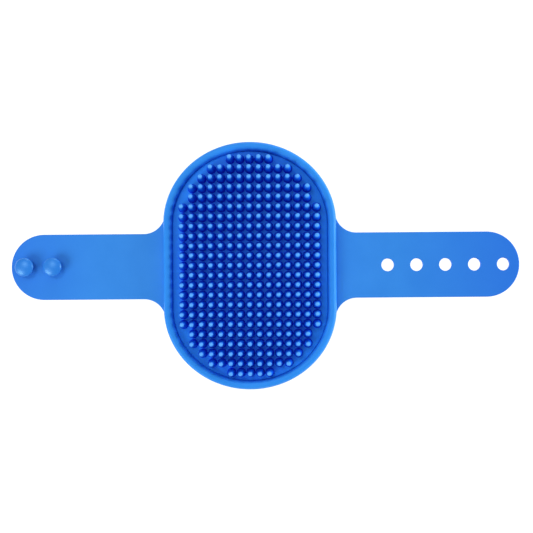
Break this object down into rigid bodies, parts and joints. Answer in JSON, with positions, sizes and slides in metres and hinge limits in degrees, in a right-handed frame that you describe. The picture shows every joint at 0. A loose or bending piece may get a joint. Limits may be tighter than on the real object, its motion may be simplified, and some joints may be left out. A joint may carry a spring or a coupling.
{
  "type": "rubber curry brush",
  "caption": "Oval rubber grooming brush with rows of tapered nubs inside a raised rim and two flexible straps that button together behind the hand with studs and holes.",
  "frame": {"origin": "middle of the pad's palm face, on the plane that the brush rests on", "axes": "+X along the straps towards the button holes, with the studs at -X; +Y along the pad's longer side; +Z out of the pad on the nub side"},
  "size_m": [0.26, 0.126, 0.012],
  "materials": {
    "pad_web_rubber": "satin moulded rubber, blue, looking deeper where the nubs shade it",
    "rim_rubber": "smooth satin moulded rubber, bright blue",
    "nub_rubber": "smooth satin moulded rubber, blue with lighter tips",
    "strap_rubber": "satin moulded rubber, mid blue with a faint texture",
    "stud_rubber": "smooth satin moulded rubber, mid blue"
  },
  "bodies": {
    "pad": {"pad_web": "pad_web_rubber", "rim_bead": "rim_rubber", "nub_row_01": "nub_rubber", "nub_row_02": "nub_rubber", "nub_row_03": "nub_rubber", "nub_row_04": "nub_rubber", "nub_row_05": "nub_rubber", "nub_row_06": "nub_rubber", "nub_row_07": "nub_rubber", "nub_row_08": "nub_rubber", "nub_row_09": "nub_rubber", "nub_row_10": "nub_rubber", "nub_row_11": "nub_rubber", "nub_row_12": "nub_rubber", "nub_row_13": "nub_rubber", "nub_row_14": "nub_rubber", "nub_row_15": "nub_rubber", "nub_row_16": "nub_rubber", "nub_row_17": "nub_rubber", "nub_row_18": "nub_rubber", "nub_row_19": "nub_rubber", "nub_row_20": "nub_rubber", "nub_row_21": "nub_rubber", "nub_row_22": "nub_rubber", "nub_row_23": "nub_rubber"},
    "left_link_1": {"left_strap_link_1": "strap_rubber"},
    "left_link_2": {"left_strap_link_2": "strap_rubber"},
    "left_link_3": {"left_strap_link_3": "strap_rubber"},
    "left_link_4": {"left_strap_link_4": "strap_rubber"},
    "left_link_5": {"left_strap_link_5": "strap_rubber"},
    "left_end": {"left_strap_end": "strap_rubber", "inner_stud": "stud_rubber", "outer_stud": "stud_rubber"},
    "right_link_1": {"right_strap_link_1": "strap_rubber"},
    "right_link_2": {"right_strap_link_2": "strap_rubber"},
    "right_link_3": {"right_strap_link_3": "strap_rubber"},
    "right_link_4": {"right_strap_link_4": "strap_rubber"},
    "right_link_5": {"right_strap_link_5": "strap_rubber"},
    "right_link_6": {"right_strap_link_6": "strap_rubber"},
    "right_end": {"right_strap_end": "strap_rubber"}
  },
  "joints": [
    {"name": "left_strap_bend", "type": "hinge", "parent": "pad", "child": "left_link_1", "pos_m": [-0.0455, 0, 0], "axis": [0, -1, 0], "range_deg": [0, 37.4], "stiffness_Nm_per_rad": 0.0128},
    {"name": "left_strap_bend_2", "type": "hinge", "parent": "left_link_1", "child": "left_link_2", "pos_m": [-0.0515, 0, 0], "axis": [0, -1, 0], "range_deg": [0, 46.9], "stiffness_Nm_per_rad": 0.0128},
    {"name": "left_strap_bend_3", "type": "hinge", "parent": "left_link_2", "child": "left_link_3", "pos_m": [-0.0575, 0, 0], "axis": [0, -1, 0], "range_deg": [0, 31.8], "stiffness_Nm_per_rad": 0.0118},
    {"name": "left_strap_bend_4", "type": "hinge", "parent": "left_link_3", "child": "left_link_4", "pos_m": [-0.064, 0, 0], "axis": [0, -1, 0], "range_deg": [0, 29.6], "stiffness_Nm_per_rad": 0.0055},
    {"name": "left_strap_bend_5", "type": "hinge", "parent": "left_link_4", "child": "left_link_5", "pos_m": [-0.078, 0, 0], "axis": [0, -1, 0], "range_deg": [0, 17.3], "stiffness_Nm_per_rad": 0.005},
    {"name": "left_strap_bend_6", "type": "hinge", "parent": "left_link_5", "child": "left_end", "pos_m": [-0.0934, 0, 0], "axis": [0, -1, 0], "range_deg": [0, 17.5], "stiffness_Nm_per_rad": 0.0053},
    {"name": "right_strap_bend", "type": "hinge", "parent": "pad", "child": "right_link_1", "pos_m": [0.0455, 0, 0], "axis": [0, 1, 0], "range_deg": [0, 39.4], "stiffness_Nm_per_rad": 0.0128},
    {"name": "right_strap_bend_2", "type": "hinge", "parent": "right_link_1", "child": "right_link_2", "pos_m": [0.0515, 0, 0], "axis": [0, 1, 0], "range_deg": [0, 49.1], "stiffness_Nm_per_rad": 0.0128},
    {"name": "right_strap_bend_3", "type": "hinge", "parent": "right_link_2", "child": "right_link_3", "pos_m": [0.0575, 0, 0], "axis": [0, 1, 0], "range_deg": [0, 32.2], "stiffness_Nm_per_rad": 0.0118},
    {"name": "right_strap_bend_4", "type": "hinge", "parent": "right_link_3", "child": "right_link_4", "pos_m": [0.064, 0, 0], "axis": [0, 1, 0], "range_deg": [0, 28.1], "stiffness_Nm_per_rad": 0.0056},
    {"name": "right_strap_bend_5", "type": "hinge", "parent": "right_link_4", "child": "right_link_5", "pos_m": [0.0778, 0, 0], "axis": [0, 1, 0], "range_deg": [0, 12.6], "stiffness_Nm_per_rad": 0.0052},
    {"name": "right_strap_bend_6", "type": "hinge", "parent": "right_link_5", "child": "right_link_6", "pos_m": [0.0926, 0, 0], "axis": [0, 1, 0], "range_deg": [0, 6.2], "stiffness_Nm_per_rad": 0.0052},
    {"name": "right_strap_bend_7", "type": "hinge", "parent": "right_link_6", "child": "right_end", "pos_m": [0.1074, 0, 0], "axis": [0, 1, 0], "range_deg": [0, 13], "stiffness_Nm_per_rad": 0.0051}
  ],
  "couplings": [
    {"joint": "left_strap_bend_2", "follows": "left_strap_bend", "ratio": 1.2513},
    {"joint": "left_strap_bend_3", "follows": "left_strap_bend", "ratio": 0.84759},
    {"joint": "left_strap_bend_4", "follows": "left_strap_bend", "ratio": 0.78877},
    {"joint": "left_strap_bend_5", "follows": "left_strap_bend", "ratio": 0.45989},
    {"joint": "left_strap_bend_6", "follows": "left_strap_bend", "ratio": 0.46524},
    {"joint": "right_strap_bend_2", "follows": "right_strap_bend", "ratio": 1.2436},
    {"joint": "right_strap_bend_3", "follows": "right_strap_bend", "ratio": 0.81472},
    {"joint": "right_strap_bend_4", "follows": "right_strap_bend", "ratio": 0.71066},
    {"joint": "right_strap_bend_5", "follows": "right_strap_bend", "ratio": 0.31726},
    {"joint": "right_strap_bend_6", "follows": "right_strap_bend", "ratio": 0.15482},
    {"joint": "right_strap_bend_7", "follows": "right_strap_bend", "ratio": 0.32741}
  ]
}
